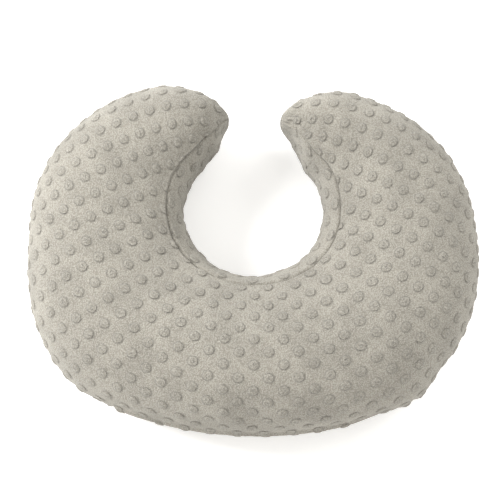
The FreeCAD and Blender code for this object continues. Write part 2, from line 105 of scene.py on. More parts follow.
def curve_weights(places: np.ndarray, count: int, cyclic: bool) -> np.ndarray:
    """Weights that read a smooth curve through evenly spaced knots.

    Args:
        places: where to read it, from 0 to 1.
        count: how many knots there are.
        cyclic: whether the last knot is followed by the first.

    Returns:
        One row of knot weights for each place.
    """
    spans = count if cyclic else count - 1
    at = np.clip(places, 0.0, 1.0) * spans
    first = np.minimum(np.floor(at).astype(int), spans - 1)
    t = at - first
    parts = (
        -0.5 * t + t**2 - 0.5 * t**3,
        1.0 - 2.5 * t**2 + 1.5 * t**3,
        0.5 * t + 2.0 * t**2 - 1.5 * t**3,
        -0.5 * t**2 + 0.5 * t**3,
    )
    weights = np.zeros((len(places), count))
    rows = np.arange(len(places))
    for step, part in zip((-1, 0, 1, 2), parts):
        knots = (first + step) % count if cyclic else np.clip(first + step, 0, count - 1)
        np.add.at(weights, (rows, knots), part)
    return weights


@dataclass
class Field:
    """A smooth quantity over the whole body: rows of knots from tip to tip, cyclic round it."""

    knots: np.ndarray

    def read(self, turns: np.ndarray, arounds: np.ndarray) -> np.ndarray:
        """Values at each signed turn (rows) and each angle around the section (columns)."""
        rows = curve_weights((turns / math.pi + 1.0) / 2.0, self.knots.shape[0], False)
        columns = curve_weights(np.mod(arounds / (2 * math.pi), 1.0), self.knots.shape[1], True)
        return np.einsum("ik,kl...,jl->ij...", rows, self.knots, columns)


def noise_field(rng: np.random.Generator, rows: int, columns: int) -> Field:
    """A field of smooth random values, mostly from -1 to 1."""
    return Field(rng.normal(0.0, 0.55, (rows, columns)).clip(-1.2, 1.2))


@dataclass
class PillowForm:
    """The law of the pillow's body: a fan of upright sections from tip to tip.

    A section's turn is 0 at the front's middle and pi at a tip, negative on the left. around is 0
    on the outline, a quarter turn at the crown and half a turn at the waist opening.
    """

    width: float
    height: float
    front_y: float
    outline_depth: float = 408 * MM
    front_power: float = 2.4
    back_power: float = 2.5
    front_lean: tuple[float, float] = (0.09, 0.15)
    back_lean: tuple[float, float] = (0.12, 0.12)
    hole_radius: float = 79 * MM
    hole_setback: float = 53 * MM
    tip_gap: float = 60 * MM
    tip_rounding: float = math.radians(33)
    tip_inside_power: float = 1.6
    tip_outside_power: float = 1.45
    tip_height_power: float = 2.8
    tip_lean: float = 4 * MM
    tip_reach: float = 110 * MM
    arm_radius: float = 120 * MM
    arm_thinning: float = 0.11
    widest_height: float = 62 * MM
    crown_power: float = 2.15
    belly_power: float = 2.6
    belly_sink: float = 1.2 * MM
    seam_height: float = 44 * MM
    gusset_angle: float = math.radians(37.7)
    zip_half_chord: float = 162 * MM
    zip_ease: float = math.radians(16)
    zip_radius: float = field(init=False)
    zip_centre: float = field(init=False)
    zip_turn: float = field(init=False)

    def __post_init__(self) -> None:
        """Finds the circle that the zip runs along."""
        turns = np.linspace(0.05, 1.5, 4000)
        reach = self.free_reach(turns, np.full_like(turns, 0.5))
        x, y = self.plan(turns, reach)
        front = -self.outline_depth / 2
        at = int(np.argmax(np.hypot(x, y - front) > self.zip_half_chord))
        rise = y[at] - front
        self.zip_turn = float(turns[at])
        self.zip_radius = float((x[at] ** 2 + rise**2) / (2 * rise))
        self.zip_centre = front + self.zip_radius

    @property
    def shift(self) -> float:
        """From the outline's own middle to the frame's, along Y."""
        return self.front_y + self.outline_depth / 2

    def plan(self, turns: np.ndarray, reach: np.ndarray) -> tuple[np.ndarray, np.ndarray]:
        """X on the right arm, and Y, at a reach from the section's pivot."""
        pivot = self.tip_gap / 2 * (1 - np.cos(turns)) / 2
        return pivot + reach * np.sin(turns), self.hole_setback - reach * np.cos(turns)

    def free_reach(self, turns: np.ndarray, left: np.ndarray) -> np.ndarray:
        """Reach to the superellipse outline: left is 1 for the left's, 0 for the right's."""
        low, high = np.zeros_like(turns), np.full_like(turns, self.width + self.outline_depth)
        lean = 2 * left - 1
        for _ in range(45):
            middle = (low + high) / 2
            x, y = self.plan(turns, middle)
            front = self.front_power + lean * np.where(lean > 0, *self.front_lean)
            back = self.back_power + lean * np.where(lean > 0, *self.back_lean)
            power = np.where(y < 0, front, back)
            inside = (np.abs(x) / (self.width / 2)) ** power
            inside = inside + (np.abs(y) / (self.outline_depth / 2)) ** power < 1
            low, high = np.where(inside, middle, low), np.where(inside, high, middle)
        return low

    def circle_reach(self, turns: np.ndarray, centre: float, radius: float) -> np.ndarray:
        """Reach to the far wall of a circle about X = 0."""
        x = self.tip_gap / 2 * (1 - np.cos(turns)) / 2
        y = self.hole_setback - centre
        along = x * np.sin(turns) - y * np.cos(turns)
        return -along + np.sqrt(along**2 - x**2 - y**2 + radius**2)

    def sizes(self, signed: np.ndarray, inset: float) -> tuple[np.ndarray, ...]:
        """(reach to the centre, half width, crown, belly) of each section at an inset."""
        turns, left = np.abs(signed), (signed < 0).astype(float)
        plain = np.full_like(turns, 0.5)
        ease = smooth_step(self.zip_turn, self.zip_turn + self.zip_ease, turns)
        lopsided = self.free_reach(turns, plain + (left - 0.5) * ease)
        outline = lopsided * ease
        outline = outline + self.circle_reach(turns, self.zip_centre, self.zip_radius) * (1 - ease)
        hole = self.circle_reach(turns, self.hole_setback, self.hole_radius)
        half = (outline - hole) / 2 - inset
        start, end = math.pi - self.tip_rounding, math.pi - inset / self.tip_reach
        share = np.clip((turns - start) / (end - start), 0.0, 1.0)

        def rounded(power: float) -> np.ndarray:
            return np.maximum(0.0, 1 - share**power) ** (1 / power)

        middle = (outline + hole) / 2 - self.tip_lean * share**2
        inside = middle - half * rounded(self.tip_inside_power)
        outside = middle + half * rounded(self.tip_outside_power)
        thinning = 1 - self.arm_thinning * np.maximum(0.0, turns / (math.pi / 2) - 1) ** 2
        lowered = rounded(self.tip_height_power)
        crown = (self.height * thinning - self.widest_height - inset) * lowered
        belly = (self.widest_height + self.belly_sink - inset) * lowered
        return (inside + outside) / 2, (outside - inside) / 2, crown, belly

    def points(self, signed: np.ndarray, arounds: np.ndarray, inset: float) -> np.ndarray:
        """Points of the body.

        Args:
            signed: the signed turn of each row.
            arounds: the angle around the section, for each row and column.
            inset: the depth under the cover's outer surface.

        Returns:
            The points, for each row and column.
        """
        centre, half, crown, belly = (part[:, None] for part in self.sizes(signed, inset))
        up = np.sin(arounds) >= 0
        side = np.where(up, 2 / self.crown_power, 2 / self.belly_power)
        across = signed_power(np.cos(arounds), side)
        over = signed_power(np.sin(arounds), side)
        x, y = self.plan(np.abs(signed)[:, None], centre + half * across)
        z = self.widest_height + np.where(up, crown, belly) * over
        x = x * np.where(signed < 0, -1.0, 1.0)[:, None]
        return np.stack([x, y + self.shift, z], axis=-1)

    def to_tip(self, signed: np.ndarray) -> np.ndarray:
        """How far each row is from the tip of its arm."""
        return (math.pi - np.abs(signed)) * self.arm_radius

    def outer_seam(self, inset: float) -> float:
        """The angle around the section of the outer seam, below the outline."""
        belly = self.widest_height + self.belly_sink - inset
        drop = self.widest_height - self.seam_height
        return -math.asin((drop / belly) ** (self.belly_power / 2))

    def rows(self, count: int, inset: float) -> np.ndarray:
        """Signed turns from tip to tip, closer together at the tips."""
        main, cap = count * 6 // 7, count // 14
        start = math.pi - self.tip_rounding
        end = math.pi - inset / self.tip_reach
        steps = np.linspace(0, start, main // 2 + 1)
        rounds = start + (end - start) * np.sin(math.pi / 2 * np.arange(1, cap + 1) / cap)
        half = np.concatenate([steps, rounds])
        return np.concatenate([-half[:0:-1], half])

    def span(self, panel: Panel, inset: float) -> tuple[float, float]:
        """The angles around the section between which a panel lies."""
        outer = self.outer_seam(inset)
        upper, lower = math.pi - self.gusset_angle, math.pi + self.gusset_angle
        spans = {
            Panel.TOP: (outer, upper),
            Panel.GUSSET: (upper, lower),
            Panel.BOTTOM: (lower, 2 * math.pi + outer),
        }
        return spans[panel]


def grid_normals(points: np.ndarray) -> np.ndarray:
    """Outward unit normals of a grid of points, smoothed over its poles."""
    along = np.gradient(points, axis=0)
    across = np.gradient(points, axis=1)
    normals = np.cross(along, across)
    length = np.linalg.norm(normals, axis=-1, keepdims=True)
    normals = normals / np.maximum(length, 1e-12)
    poles = length[..., 0] < 1e-10
    for row in (0, -1):
        inner = 1 if row == 0 else -2
        normals[row][poles[row]] = normals[inner][poles[row]]
    return normals


def arc_lengths(points: np.ndarray) -> np.ndarray:
    """Lengths along each column of a grid, counted from its middle row."""
    steps = np.linalg.norm(np.diff(points, axis=0), axis=-1)
    lengths = np.concatenate([np.zeros((1, points.shape[1])), np.cumsum(steps, axis=0)])
    return lengths - lengths[points.shape[0] // 2]


def widths_across(points: np.ndarray) -> np.ndarray:
    """Lengths along each row of a grid, counted from its first column."""
    steps = np.linalg.norm(np.diff(points, axis=1), axis=-1)
    return np.concatenate([np.zeros((points.shape[0], 1)), np.cumsum(steps, axis=1)], axis=1)


def wrap_grid(
    name: str, points: np.ndarray, cloth: np.ndarray | None = None, thickness: float = 0.0
) -> bpy.types.Object:
    """A grid that is wrapped onto rows and columns of points.

    Args:
        name: the piece's name.
        points: where each crossing of the grid goes.
        cloth: flat cloth coordinates of each crossing, for the piece's UV map.
        thickness: the cloth's thickness, added under the points, or 0 for a bare surface.

    Returns:
        The new object.
    """
    rows, columns = points.shape[:2]
    bm = bmesh.new()
    bmesh.ops.create_grid(bm, x_segments=rows - 1, y_segments=columns - 1, size=1.0)
    mesh = bpy.data.meshes.new(name)
    bm.to_mesh(mesh)
    bm.free()
    flat = np.zeros(len(mesh.vertices) * 3)
    mesh.vertices.foreach_get("co", flat)
    flat = flat.reshape(-1, 3)
    row = np.rint((flat[:, 0] + 1) / 2 * (rows - 1)).astype(int)
    column = np.rint((flat[:, 1] + 1) / 2 * (columns - 1)).astype(int)
    mesh.vertices.foreach_set("co", points[row, column].astype(np.float32).ravel())
    if cloth is not None:
        loops = np.zeros(len(mesh.loops), int)
        mesh.loops.foreach_get("vertex_index", loops)
        layer = mesh.uv_layers.new(name="Cloth")
        layer.data.foreach_set("uv", cloth[row[loops], column[loops]].astype(np.float32).ravel())
    mesh.update()
    bm = bmesh.new()
    bm.from_mesh(mesh)
    bmesh.ops.remove_doubles(bm, verts=bm.verts, dist=2e-6)
    bmesh.ops.dissolve_degenerate(bm, dist=1e-7, edges=bm.edges)
    for face in bm.faces:
        face.smooth = True
    bm.to_mesh(mesh)
    bm.free()
    piece = bpy.data.objects.new(name, mesh)
    bpy.context.scene.collection.objects.link(piece)
    if thickness:
        wall = piece.modifiers.new("cloth thickness", "SOLIDIFY")
        wall.thickness = thickness
        wall.offset = -1.0
        wall.use_even_offset = False
        wall.use_quality_normals = False
        apply_modifiers(piece)
    return piece


def apply_modifiers(piece: bpy.types.Object) -> None:
    """Makes a piece's modifiers part of its mesh."""
    graph = bpy.context.evaluated_depsgraph_get()
    graph.update()
    shaped = bpy.data.meshes.new_from_object(piece.evaluated_get(graph), depsgraph=graph)
    old = piece.data
    piece.modifiers.clear()
    piece.data = shaped
    shaped.name = piece.name
    bpy.data.meshes.remove(old)


# ---- how the stuffing shapes the cloth ----


@dataclass
class StuffedShape:
    """What every layer shares: how the stuffing puffs, lumps and gathers the body."""

    form: PillowForm
    pressure: float = 4.0
    frames: int = 20
    sim_rows: int = 196
    sim_columns: int = 60
    most_move: float = 3.4 * MM
    draw_in: float = 1.5 * MM
    lump: float = 1.5 * MM
    ripple: float = 0.55 * MM
    gather: float = 2.6 * MM
    gather_fade: float = 26 * MM
    tip_closing: float = 16 * MM
    left_tip_fullness: float = 6.5 * MM
    left_tip_setback: float = -3.2 * MM
    wall_hold: float = 0.45
    held_width: float = 0.6
    zip_hold: tuple[float, float] = (158 * MM, 176 * MM)
    zip_hold_turn: tuple[float, float] = (0.24, 0.42)
    puff: Field = field(init=False)
    lumps: Field = field(init=False)
    ripples: Field = field(init=False)
    gathers: Field = field(init=False)

    def __post_init__(self) -> None:
        """Draws the random fields and runs the cloth."""
        rng = np.random.default_rng(SEED)
        self.lumps = noise_field(rng, 17, 6)
        self.ripples = noise_field(rng, 52, 16)
        self.gathers = noise_field(rng, 9, 26)
        self.puff = self.simulate()

    def simulate(self) -> Field:
        """Blows the body up as cloth that is held at its seams.

        Returns:
            How far each place of the body moves, as a field of vectors.
        """
        form = self.form
        signed = np.linspace(-math.pi, math.pi, self.sim_rows)
        arounds = np.linspace(0, 2 * math.pi, self.sim_columns + 1)
        rest = form.points(signed, np.tile(arounds, (self.sim_rows, 1)), 0.0)
        body = wrap_grid("cloth_form", rest)
        seams = [form.span(panel, 0.0)[0] % (2 * math.pi) for panel in Panel]
        held = body.vertex_groups.new(name="seams")
        finder = kdtree.KDTree(self.sim_rows * self.sim_columns)
        for row in range(self.sim_rows):
            for column in range(self.sim_columns):
                finder.insert(Vector(rest[row, column]), row * self.sim_columns + column)
        finder.balance()
        width = self.held_width * 2 * math.pi / self.sim_columns
        for vertex in body.data.vertices:
            spot = finder.find(vertex.co)[1]
            at = arounds[spot % self.sim_columns]
            near = min(abs((at - seam + math.pi) % (2 * math.pi) - math.pi) for seam in seams)
            if near < width:
                held.add([vertex.index], 1.0, "REPLACE")
        cloth = body.modifiers.new("stuffing", "CLOTH")
        settings = cloth.settings
        settings.quality = 4
        settings.mass = 0.25
        settings.tension_stiffness = 12
        settings.compression_stiffness = 8
        settings.shear_stiffness = 4
        settings.bending_stiffness = 0.4
        settings.use_pressure = True
        settings.uniform_pressure_force = self.pressure
        settings.effector_weights.gravity = 0.0
        settings.shrink_min = -0.035
        settings.vertex_group_mass = "seams"
        cloth.collision_settings.use_collision = False
        cloth.collision_settings.use_self_collision = False
        cloth.point_cache.frame_start, cloth.point_cache.frame_end = 1, self.frames
        scene = bpy.context.scene
        for step in range(1, self.frames + 1):
            scene.frame_set(step)
        graph = bpy.context.evaluated_depsgraph_get()
        puffed = body.evaluated_get(graph).to_mesh()
        finder = kdtree.KDTree(len(body.data.vertices))
        for vertex in body.data.vertices:
            finder.insert(vertex.co, vertex.index)
        finder.balance()
        moves = np.zeros((self.sim_rows, self.sim_columns, 3))
        for row in range(self.sim_rows):
            for column in range(self.sim_columns):
                place = Vector(rest[row, column])
                index = finder.find(place)[1]
                moves[row, column] = puffed.vertices[index].co - place
        scene.frame_set(1)
        bpy.data.objects.remove(body)
        length = np.linalg.norm(moves, axis=-1, keepdims=True)
        moves *= np.tanh(length / self.most_move) * self.most_move / np.maximum(length, 1e-9)
        LOG.info("cloth moved the body by %.1f mm on average", length.mean() / MM)
        for _ in range(2):
            moves[1:-1] = (moves[:-2] + 2 * moves[1:-1] + moves[2:]) / 4
            moves = (np.roll(moves, 1, axis=1) + 2 * moves + np.roll(moves, -1, axis=1)) / 4
        return Field(moves)

    def zip_share(self, signed: np.ndarray, arounds: np.ndarray) -> np.ndarray:
        """1 over the zip and its tapes, where the cover keeps to its own line, and 0 elsewhere."""
        form = self.form
        reach = form.sizes(signed, 0.0)
        x, _ = form.plan(np.abs(signed), reach[0] + reach[1])
        beside = 1 - smooth_step(*self.zip_hold, x)
        seam = form.outer_seam(0.0)
        turned = (arounds - seam + math.pi) % (2 * math.pi) - math.pi
        beside = np.where(np.abs(signed) > math.pi / 2, 0.0, beside)
        return beside[:, None] * (1 - smooth_step(*self.zip_hold_turn, np.abs(turned)))[None, :]

    def shape(self, signed: np.ndarray, arounds: np.ndarray, inset: float) -> np.ndarray:
        """Points of a layer with the stuffing's push, before its own seams and surface.

        Args:
            signed: the signed turn of each row.
            arounds: the angle around the section of each row and column.
            inset: the layer's depth.

        Returns:
            The points, for each row and column.
        """
        points = self.form.points(signed, arounds, inset)
        middle = arounds[len(signed) // 2]
        free = (1 - self.zip_share(signed, middle))[..., None]
        wall = bell(middle, math.pi, 1.0)
        hold = (1 - self.wall_hold * wall)[None, :, None]
        points = points + self.puff.read(signed, middle) * free * hold
        to_tip = self.form.to_tip(signed)
        at_tip = np.exp(-to_tip / self.gather_fade)[:, None]
        push = self.lump * self.lumps.read(signed, middle)
        push = push + self.ripple * self.ripples.read(signed, middle) - self.draw_in
        push = push + self.gather * at_tip * (self.gathers.read(signed, middle) - 0.25)
        closing = smooth_step(0.0, self.tip_closing, to_tip)[:, None]
        left = (signed < 0).astype(float)
        full = left * bell(to_tip, 24 * MM, 20 * MM)
        push = push + self.left_tip_fullness * full[:, None] * wall[None, :]
        points[..., 0] += (self.left_tip_setback * left * bell(to_tip, 0.0, 30 * MM))[:, None]
        normals = grid_normals(points)
        return points + normals * (push * closing)[..., None] * free


# ---- finishes ----

Socket = bpy.types.NodeSocket
Colour = tuple[float, float, float]


class Sketch:
    """Places and links shader nodes in a tree."""

    def __init__(self, tree: bpy.types.NodeTree) -> None:
        """Keeps the tree."""
        self.tree = tree

    def node(self, kind: str, **values: object) -> bpy.types.Node:
        """A new node, with its properties by name."""
        made = self.tree.nodes.new(kind)
        for name, value in values.items():
            setattr(made, name, value)
        return made

    def feed(self, socket: Socket, value: object) -> None:
        """Links an output, or sets a number or colour, on an input socket."""
        if isinstance(value, Socket):
            self.tree.links.new(value, socket)
        else:
            socket.default_value = value

    def math(self, operation: str, *values: object) -> Socket:
        """A Math node on one to three values."""
        made = self.node("ShaderNodeMath", operation=operation)
        for socket, value in zip(made.inputs, values):
            self.feed(socket, value)
        return made.outputs[0]

    def vector_math(self, operation: str, *values: object) -> bpy.types.Node:
        """A Vector Math node."""
        made = self.node("ShaderNodeVectorMath", operation=operation)
        for socket, value in zip(made.inputs, values):
            self.feed(socket, value)
        return made

    def remap(self, value: Socket, low: float, high: float, start: float, end: float) -> Socket:
        """A smooth change from start to end as value goes from low to high."""
        made = self.node("ShaderNodeMapRange", interpolation_type="SMOOTHSTEP")
        names = ("Value", "From Min", "From Max", "To Min", "To Max")
        for name, given in zip(names, (value, low, high, start, end)):
            self.feed(made.inputs[name], given)
        return made.outputs["Result"]

    def noise(self, place: Socket, scale: float, detail: float, roughness: float = 0.5) -> Socket:
        """Noise from 0 to 1 at a place."""
        made = self.node("ShaderNodeTexNoise")
        self.feed(made.inputs["Vector"], place)
        made.inputs["Scale"].default_value = scale
        made.inputs["Detail"].default_value = detail
        made.inputs["Roughness"].default_value = roughness
        return made.outputs["Fac"]

    def mix(self, share: object, one: object, other: object, blend: str = "MIX") -> Socket:
        """A mix of two colours."""
        made = self.node("ShaderNodeMix", data_type="RGBA", blend_type=blend)
        self.feed(made.inputs[0], share)
        self.feed(made.inputs[6], one)
        self.feed(made.inputs[7], other)
        return made.outputs[2]

    def bump(
        self, height: Socket, strength: float, distance: float, normal: Socket | None = None
    ) -> Socket:
        """A bumped normal."""
        made = self.node("ShaderNodeBump")
        made.inputs["Strength"].default_value = strength
        made.inputs["Distance"].default_value = distance
        self.feed(made.inputs["Height"], height)
        if normal is not None:
            self.feed(made.inputs["Normal"], normal)
        return made.outputs["Normal"]


def start_group(
    name: str, inputs: dict[str, object], outputs: tuple[str, ...]
) -> tuple[Sketch, bpy.types.Node, bpy.types.Node]:
    """A new node group's sketch, with its input and output nodes.

    Args:
        name: the group's name.
        inputs: each input's name with its default, a number or a vector.
        outputs: the names of its values.

    Returns:
        The sketch, the input node and the output node.
    """
    tree = bpy.data.node_groups.new(name, "ShaderNodeTree")
    for title, value in inputs.items():
        kind = "NodeSocketVector" if isinstance(value, tuple) else "NodeSocketFloat"
        socket = tree.interface.new_socket(name=title, in_out="INPUT", socket_type=kind)
        socket.default_value = value
    for title in outputs:
        tree.interface.new_socket(name=title, in_out="OUTPUT", socket_type="NodeSocketFloat")
    return Sketch(tree), tree.nodes.new("NodeGroupInput"), tree.nodes.new("NodeGroupOutput")


class Effects:
    """Shader node groups that several materials share, each built once."""

    @cached_property
    def pile(self) -> bpy.types.NodeTree:
        """Short plush pile: fine tufts, and the patches where the nap lies over. The plush darkens
        the gaps between tufts as painted shade and lightens the nap's patches as painted sheen.
        """
        inputs = {"Place": (0.0, 0.0, 0.0), "Tuft Size": 0.9, "Nap Size": 40.0}
        sketch, given, out = start_group("pile", inputs, ("Tufts", "Nap"))
        millimetres = sketch.vector_math("SCALE", given.outputs["Place"])
        small = sketch.math("DIVIDE", 1.0, given.outputs["Tuft Size"])
        sketch.feed(millimetres.inputs["Scale"], sketch.math("MULTIPLY", small, 1000.0))
        fine = sketch.noise(millimetres.outputs[0], 1.0, 2.0, 0.6)
        knots = sketch.node("ShaderNodeTexVoronoi", feature="F1")
        sketch.feed(knots.inputs["Vector"], millimetres.outputs[0])
        knots.inputs["Scale"].default_value = 0.55
        clumps = sketch.math("SUBTRACT", 1.0, knots.outputs["Distance"])
        fine, clumps = sketch.math("MULTIPLY", fine, 0.6), sketch.math("MULTIPLY", clumps, 0.4)
        tufts = sketch.math("ADD", fine, clumps)
        large = sketch.vector_math("SCALE", given.outputs["Place"])
        wide = sketch.math("DIVIDE", 1000.0, given.outputs["Nap Size"])
        sketch.feed(large.inputs["Scale"], wide)
        sketch.feed(out.inputs["Tufts"], tufts)
        sketch.feed(out.inputs["Nap"], sketch.noise(large.outputs[0], 1.0, 3.0, 0.55))
        return sketch.tree

    @cached_property
    def dots(self) -> bpy.types.NodeTree:
        """Raised round dots on a lattice in the cloth's own flat coordinates."""
        inputs = {"Cloth": (0.0, 0.0, 0.0), "Across": 0.03, "Along": 0.028}
        inputs.update({"Radius": 0.0055, "Waver": 0.2})
        sketch, given, out = start_group("raised dots", inputs, ("Edge", "Height", "Swirl"))
        parts = sketch.node("ShaderNodeSeparateXYZ")
        sketch.feed(parts.inputs[0], given.outputs["Cloth"])
        across = sketch.math("DIVIDE", parts.outputs[0], given.outputs["Across"])
        along = sketch.math("DIVIDE", parts.outputs[1], given.outputs["Along"])
        sums = (sketch.math(operation, across, along) for operation in ("ADD", "SUBTRACT"))
        one, other = (sketch.math("SUBTRACT", sketch.math("FRACT", part), 0.5) for part in sums)
        sides = []
        for operation, pitch in (("ADD", "Across"), ("SUBTRACT", "Along")):
            half = sketch.math("MULTIPLY", given.outputs[pitch], 0.5)
            side = sketch.math("MULTIPLY", sketch.math(operation, one, other), half)
            sides.append(sketch.math("MULTIPLY", side, side))
        far = sketch.math("SQRT", sketch.math("ADD", sides[0], sides[1]))
        far = sketch.math("DIVIDE", far, given.outputs["Radius"])
        ragged = sketch.noise(given.outputs["Cloth"], 520.0, 2.0, 0.6)
        ragged = sketch.math("SUBTRACT", ragged, 0.5)
        far = sketch.math("MULTIPLY_ADD", ragged, given.outputs["Waver"], far)
        top = sketch.remap(far, 0.82, 1.0, 1.0, 0.0)
        rise = sketch.remap(far, 0.84, 1.0, 0.0, 1.0)
        # The ring round each dot's foot, which the plush darkens as painted shade.
        edge = sketch.math("MULTIPLY", rise, sketch.remap(far, 1.04, 1.26, 1.0, 0.0))
        curls = sketch.remap(sketch.noise(given.outputs["Cloth"], 480.0, 1.0), 0.47, 0.6, 0.0, 1.0)
        swirl = sketch.math("MULTIPLY", curls, sketch.remap(far, 0.25, 0.8, 1.0, 0.0))
        sketch.feed(out.inputs["Edge"], edge)
        sketch.feed(out.inputs["Height"], sketch.math("MULTIPLY_ADD", swirl, -0.35, top))
        sketch.feed(out.inputs["Swirl"], swirl)
        return sketch.tree

    @cached_property
    def weave(self) -> bpy.types.NodeTree:
        """A plain weave of threads over and under each other."""
        inputs = {"Place": (0.0, 0.0, 0.0), "Thread": 0.0006}
        sketch, given, out = start_group("plain weave", inputs, ("Height", "Slub"))
        turned = sketch.vector_math("SCALE", given.outputs["Place"])
        turns = sketch.math("DIVIDE", math.pi, given.outputs["Thread"])
        sketch.feed(turned.inputs["Scale"], turns)
        parts = sketch.node("ShaderNodeSeparateXYZ")
        sketch.feed(parts.inputs[0], turned.outputs[0])
        warp = sketch.math("SINE", sketch.math("ADD", parts.outputs[0], parts.outputs[2]))
        weft = sketch.math("SINE", sketch.math("SUBTRACT", parts.outputs[1], parts.outputs[2]))
        crossing = sketch.math("MULTIPLY", warp, weft)
        sketch.feed(out.inputs["Height"], sketch.math("MULTIPLY_ADD", crossing, 0.5, 0.5))
        sketch.feed(out.inputs["Slub"], sketch.noise(given.outputs["Place"], 220.0, 3.0, 0.6))
        return sketch.tree

    @cached_property
    def wear(self) -> bpy.types.NodeTree:
        """Soft scuffs and dulling by handling."""
        inputs = {"Place": (0.0, 0.0, 0.0), "Size": 0.004}
        sketch, given, out = start_group("handling wear", inputs, ("Scuff", "Grain"))
        spread = sketch.vector_math("SCALE", given.outputs["Place"])
        sketch.feed(spread.inputs["Scale"], sketch.math("DIVIDE", 1.0, given.outputs["Size"]))
        scuff = sketch.noise(spread.outputs[0], 1.0, 5.0, 0.65)
        sketch.feed(out.inputs["Scuff"], sketch.remap(scuff, 0.45, 0.7, 0.0, 1.0))
        sketch.feed(out.inputs["Grain"], sketch.noise(spread.outputs[0], 9.0, 2.0))
        return sketch.tree


EFFECTS = Effects()


def start_material(name: str) -> tuple[bpy.types.Material, Sketch, bpy.types.Node, Socket]:
    """A new material, its sketch, its Principled BSDF and its Object coordinates."""
    material = bpy.data.materials.new(name)
    material.use_nodes = True
    sketch = Sketch(material.node_tree)
    shader = material.node_tree.nodes["Principled BSDF"]
    place = sketch.node("ShaderNodeTexCoord").outputs["Object"]
    return material, sketch, shader, place


def place_group(sketch: Sketch, tree: bpy.types.NodeTree, **values: object) -> bpy.types.Node:
    """A group node with its inputs given by name, with _ for a space."""
    made = sketch.node("ShaderNodeGroup")
    made.node_tree = tree
    for name, value in values.items():
        sketch.feed(made.inputs[name.replace("_", " ")], value)
    return made


def shade(colour: Colour, share: float) -> tuple[float, float, float, float]:
    """A colour made darker or lighter by a share, with full alpha."""
    return tuple(min(1.0, part * share) for part in colour) + (1.0,)


@dataclass(frozen=True)
class PlushFinish:
    """Raised-dot plush: short dense pile with a soft sheen, painted shade in the dots' grooves and
    between its tufts, and painted sheen on its nap's patches.
    """

    across: float
    along: float
    radius: float
    name: str = "dotted_plush"
    colour: Colour = (0.408, 0.389, 0.345)

    def build(self) -> bpy.types.Material:
        """The finish as a material, reading the piece's Cloth map for its dots."""
        material, sketch, shader, place = start_material(self.name)
        cloth = sketch.node("ShaderNodeUVMap", uv_map="Cloth").outputs[0]
        lattice = {"Across": self.across, "Along": self.along, "Radius": self.radius}
        dots = place_group(sketch, EFFECTS.dots, Cloth=cloth, Waver=0.5, **lattice)
        pile = place_group(sketch, EFFECTS.pile, Place=place, Tuft_Size=0.85, Nap_Size=38.0)
        # Painted sheen: the brushed nap's patches are real, and their lighter shades, up to 1.13 of
        # the plush colour, are painted sheen.
        nap = sketch.remap(pile.outputs["Nap"], 0.34, 0.66, 0.0, 1.0)
        colour = sketch.mix(nap, shade(self.colour, 0.97), shade(self.colour, 1.13))
        # Painted shade between the tufts: where the pile is low its colour is multiplied down to
        # about 0.63.
        tufts = sketch.remap(pile.outputs["Tufts"], 0.38, 0.68, 0.0, 1.0)
        painted_gap_shade = sketch.mix(1.0, colour, (0.63, 0.62, 0.60, 1), "MULTIPLY")
        colour = sketch.mix(tufts, painted_gap_shade, colour)
        marks = sketch.math("MULTIPLY", dots.outputs["Swirl"], 0.8)
        colour = sketch.mix(marks, colour, shade(self.colour, 0.55))
        # Painted shade: a dark ring in the groove round the foot of each dot, down to half the plush
        # colour.
        painted_rim_shade = sketch.math("MULTIPLY", dots.outputs["Edge"], 0.54)
        colour = sketch.mix(painted_rim_shade, colour, shade(self.colour, 0.5))
        sketch.feed(shader.inputs["Base Color"], colour)
        rough = sketch.remap(pile.outputs["Tufts"], 0.2, 0.8, 0.98, 0.84)
        sketch.feed(shader.inputs["Roughness"], rough)
        shader.inputs["Sheen Weight"].default_value = 0.25
        shader.inputs["Sheen Roughness"].default_value = 0.45
        shader.inputs["Sheen Tint"].default_value = (1.0, 0.99, 0.96, 1.0)
        shader.inputs["Specular IOR Level"].default_value = 0.12
        fine = sketch.bump(pile.outputs["Tufts"], 1.0, 2.5 * MM)
        raised = sketch.bump(dots.outputs["Height"], 0.9, 1.2 * MM, fine)
        sketch.feed(shader.inputs["Normal"], raised)
        return material


@dataclass(frozen=True)
class WovenFinish:
    """Woven cloth or ribbon, with a slub, a soft sheen and painted shade in the weave's hollows."""

    name: str
    colour: Colour
    thread: float
    sheen: float = 0.15
    roughness: float = 0.85

    def build(self) -> bpy.types.Material:
        """The finish as a material."""
        material, sketch, shader, place = start_material(self.name)
        weave = place_group(sketch, EFFECTS.weave, Place=place, Thread=self.thread)
        slub = sketch.remap(weave.outputs["Slub"], 0.3, 0.7, 0.0, 1.0)
        colour = sketch.mix(slub, shade(self.colour, 0.93), shade(self.colour, 1.04))
        # Painted shade in the weave's hollows, where the threads dip under each other.
        painted_gap_shade = sketch.remap(weave.outputs["Height"], 0.0, 0.5, 0.35, 0.0)
        colour = sketch.mix(painted_gap_shade, colour, shade(self.colour, 0.7))
        sketch.feed(shader.inputs["Base Color"], colour)
        rough = sketch.remap(slub, 0.0, 1.0, self.roughness, self.roughness - 0.08)
        sketch.feed(shader.inputs["Roughness"], rough)
        shader.inputs["Sheen Weight"].default_value = self.sheen
        woven = sketch.bump(weave.outputs["Height"], 0.5, self.thread / 3)
        sketch.feed(shader.inputs["Normal"], woven)
        return material


